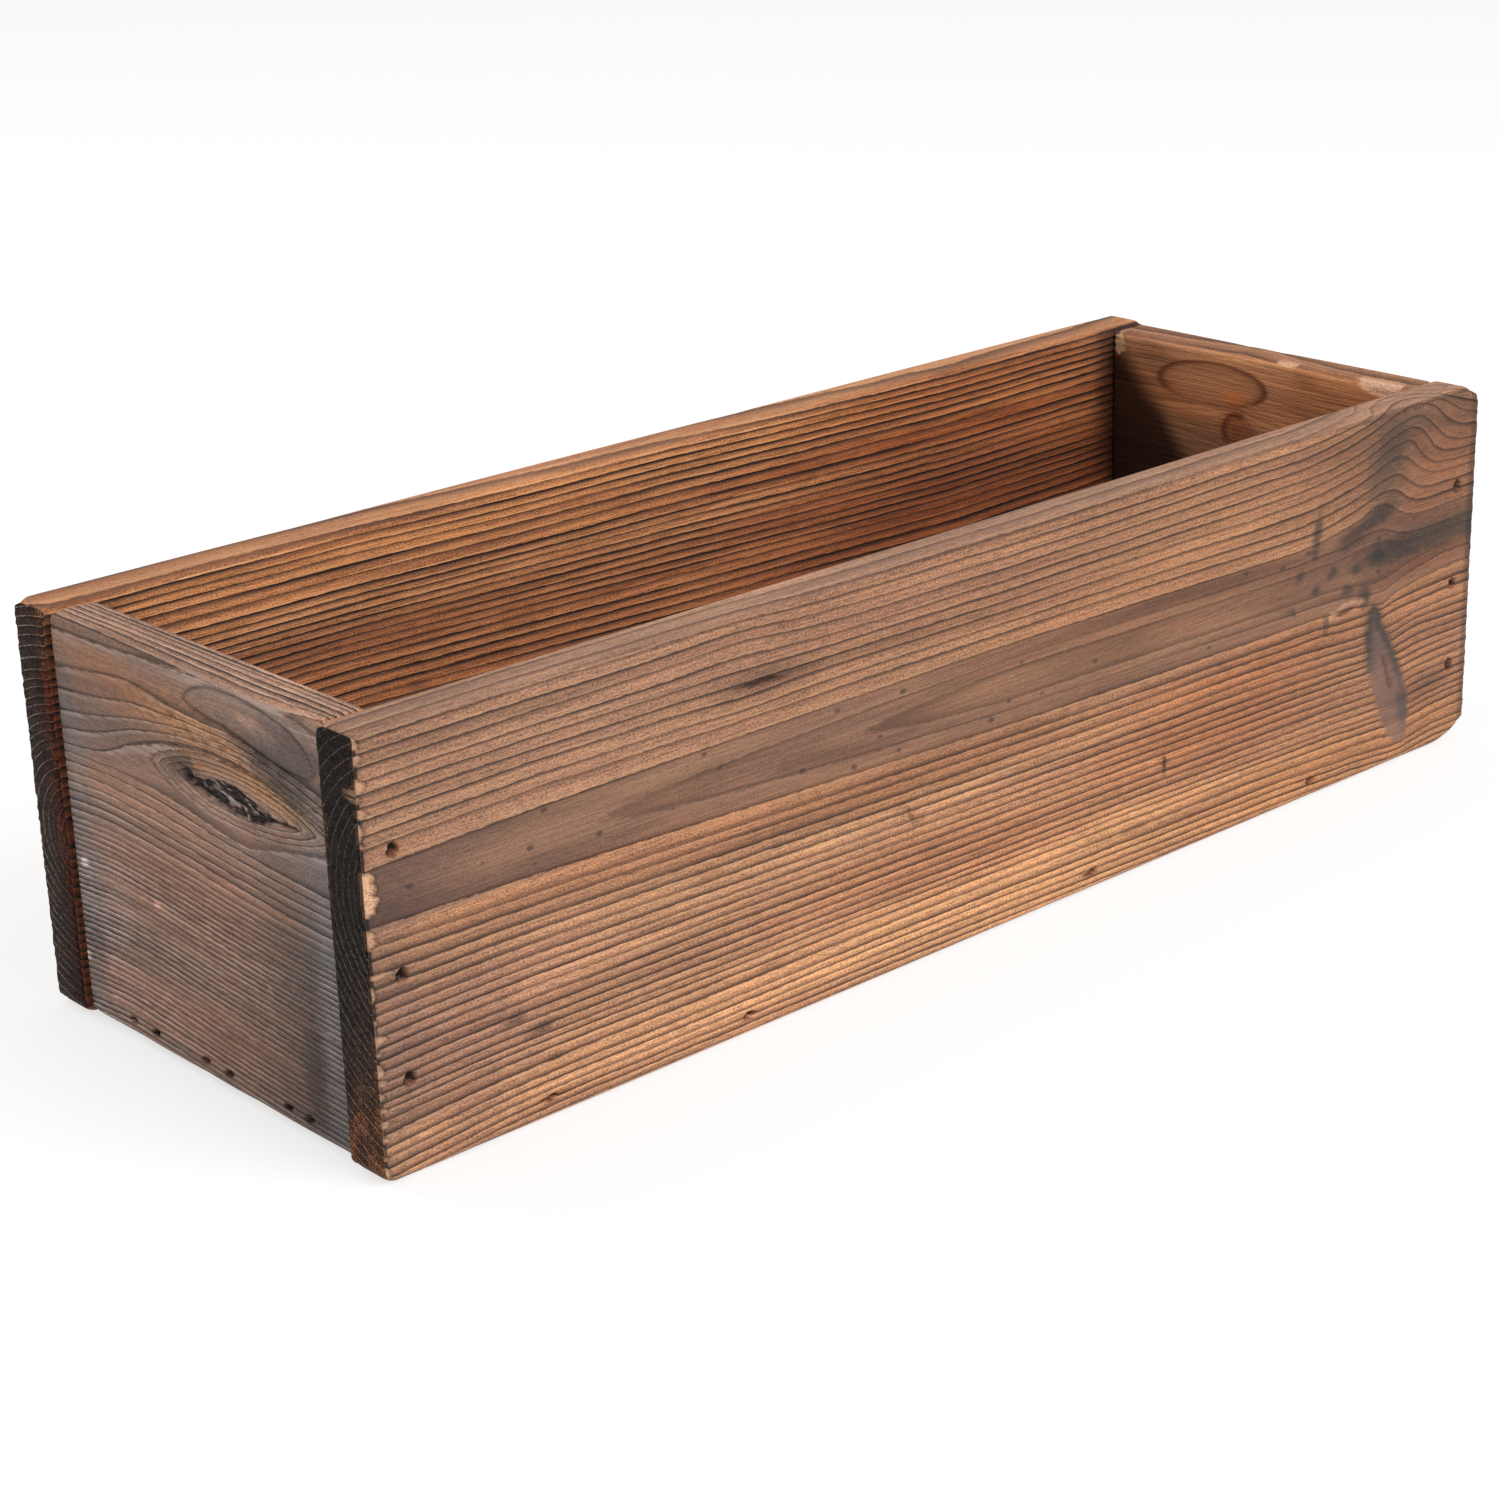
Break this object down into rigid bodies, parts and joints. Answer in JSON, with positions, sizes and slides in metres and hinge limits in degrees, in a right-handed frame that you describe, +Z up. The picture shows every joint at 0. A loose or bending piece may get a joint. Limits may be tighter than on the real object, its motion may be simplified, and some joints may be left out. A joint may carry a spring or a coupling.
{
  "type": "wooden trough planter",
  "caption": "Open-topped rectangular trough planter of scorched softwood boards, nailed at the corners, with a slatted floor that drains.",
  "frame": {"origin": "on the ground under the middle of the trough", "axes": "+X along the trough towards its right end, -Y towards the front board, +Z up to the open top"},
  "size_m": [0.436, 0.154, 0.118],
  "materials": {
    "side_board_wood": "scorched and wire-brushed softwood under a thin satin finish",
    "end_board_wood": "scorched and wire-brushed softwood under a thin satin finish",
    "floor_plank_wood": "lightly scorched sawn softwood, matt",
    "brad_steel": "galvanised wire, dull"
  },
  "bodies": {
    "root": {"front_board": "side_board_wood", "back_board": "side_board_wood", "left_end_board": "end_board_wood", "right_end_board": "end_board_wood", "front_floor_plank": "floor_plank_wood", "middle_floor_plank": "floor_plank_wood", "back_floor_plank": "floor_plank_wood", "front_left_corner_brads": "brad_steel", "front_right_corner_brads": "brad_steel", "back_left_corner_brads": "brad_steel", "back_right_corner_brads": "brad_steel", "front_floor_brads": "brad_steel", "back_floor_brads": "brad_steel", "left_floor_brads": "brad_steel", "right_floor_brads": "brad_steel"}
  },
  "joints": []
}
